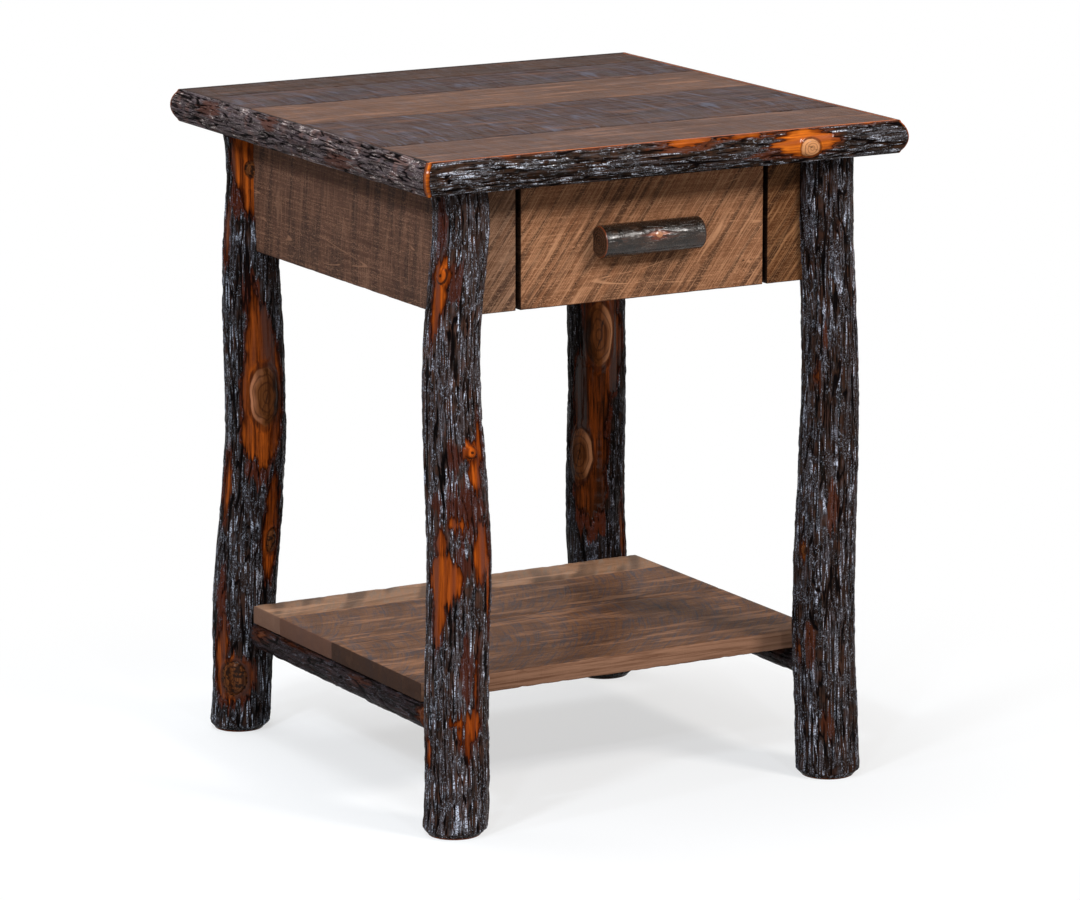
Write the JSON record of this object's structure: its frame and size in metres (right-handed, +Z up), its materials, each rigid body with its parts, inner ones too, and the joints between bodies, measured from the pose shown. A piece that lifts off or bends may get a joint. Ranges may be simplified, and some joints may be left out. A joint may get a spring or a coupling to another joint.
{
  "type": "end table",
  "caption": "Square rustic end table with bark-covered log legs, half-round bark edging, a planked top, a low plank shelf on log stretchers and a sliding drawer with a branch pull.",
  "frame": {"origin": "on the floor, under the middle of the top", "axes": "+Z up; the drawer opens towards -Y; +X to the right along the front, seen from the front"},
  "size_m": [0.577, 0.583, 0.7112],
  "materials": {
    "hickory_log": "gloss lacquer over dark furrowed bark with orange peeled patches",
    "hickory_branch": "satin lacquer over dark bark",
    "hickory_slab": "gloss lacquer over ridged bark",
    "hickory_pull": "gloss lacquer over smooth bark",
    "top_plank": "satin stained rough-sawn plank",
    "shelf_plank": "satin stained rough-sawn plank",
    "rough_sawn_board": "satin stained rough-sawn board",
    "drawer_box_wood": "clear satin",
    "drawer_panel": "clear satin",
    "frame_wood": "clear satin",
    "dowel_wood": "bare",
    "steel_screw": "zinc plated"
  },
  "bodies": {
    "case": {"back_apron": "rough_sawn_board", "back_lower_rail": "frame_wood", "cross_dowels": "dowel_wood", "edging_back": "hickory_slab", "edging_dowels": "dowel_wood", "edging_front": "hickory_slab", "edging_left": "hickory_slab", "edging_right": "hickory_slab", "front_lower_rail": "frame_wood", "front_stile_left": "rough_sawn_board", "front_stile_right": "rough_sawn_board", "front_top_rail": "frame_wood", "guide_left": "frame_wood", "guide_right": "frame_wood", "guide_screws": "steel_screw", "kicker_left": "frame_wood", "kicker_right": "frame_wood", "leg_back_left": "hickory_log", "leg_back_right": "hickory_log", "leg_front_left": "hickory_log", "leg_front_right": "hickory_log", "rail_dowels": "dowel_wood", "runner_left": "frame_wood", "runner_right": "frame_wood", "shelf_plank_back": "shelf_plank", "shelf_plank_front": "shelf_plank", "shelf_plank_middle": "shelf_plank", "shelf_screws": "steel_screw", "shelf_tongues": "dowel_wood", "side_apron_dowels": "dowel_wood", "side_apron_left": "rough_sawn_board", "side_apron_right": "rough_sawn_board", "stretcher_left": "hickory_branch", "stretcher_right": "hickory_branch", "top_cleat_back": "frame_wood", "top_cleat_left": "frame_wood", "top_cleat_right": "frame_wood", "top_plank_back": "top_plank", "top_plank_fourth": "top_plank", "top_plank_front": "top_plank", "top_plank_middle": "top_plank", "top_plank_second": "top_plank", "top_screws": "steel_screw", "top_tongues": "dowel_wood"},
    "drawer": {"drawer_front": "rough_sawn_board", "drawer_box_front": "drawer_box_wood", "drawer_side_left": "drawer_box_wood", "drawer_side_right": "drawer_box_wood", "drawer_back": "drawer_box_wood", "drawer_bottom": "drawer_panel", "drawer_pull": "hickory_pull", "drawer_front_screws": "steel_screw", "pull_screws": "steel_screw", "drawer_bottom_screws": "steel_screw", "turn_button_screw": "steel_screw"},
    "turn_button": {"turn_button": "frame_wood"}
  },
  "joints": [
    {"name": "drawer_slide", "type": "slide", "parent": "case", "child": "drawer", "axis": [0, -1, 0], "range_m": [0, 0.33]},
    {"name": "turn_button_pivot", "type": "hinge", "parent": "drawer", "child": "turn_button", "pos_m": [0, 0.1684, 0.648], "axis": [0, 1, 0], "range_deg": [0, 90]}
  ]
}
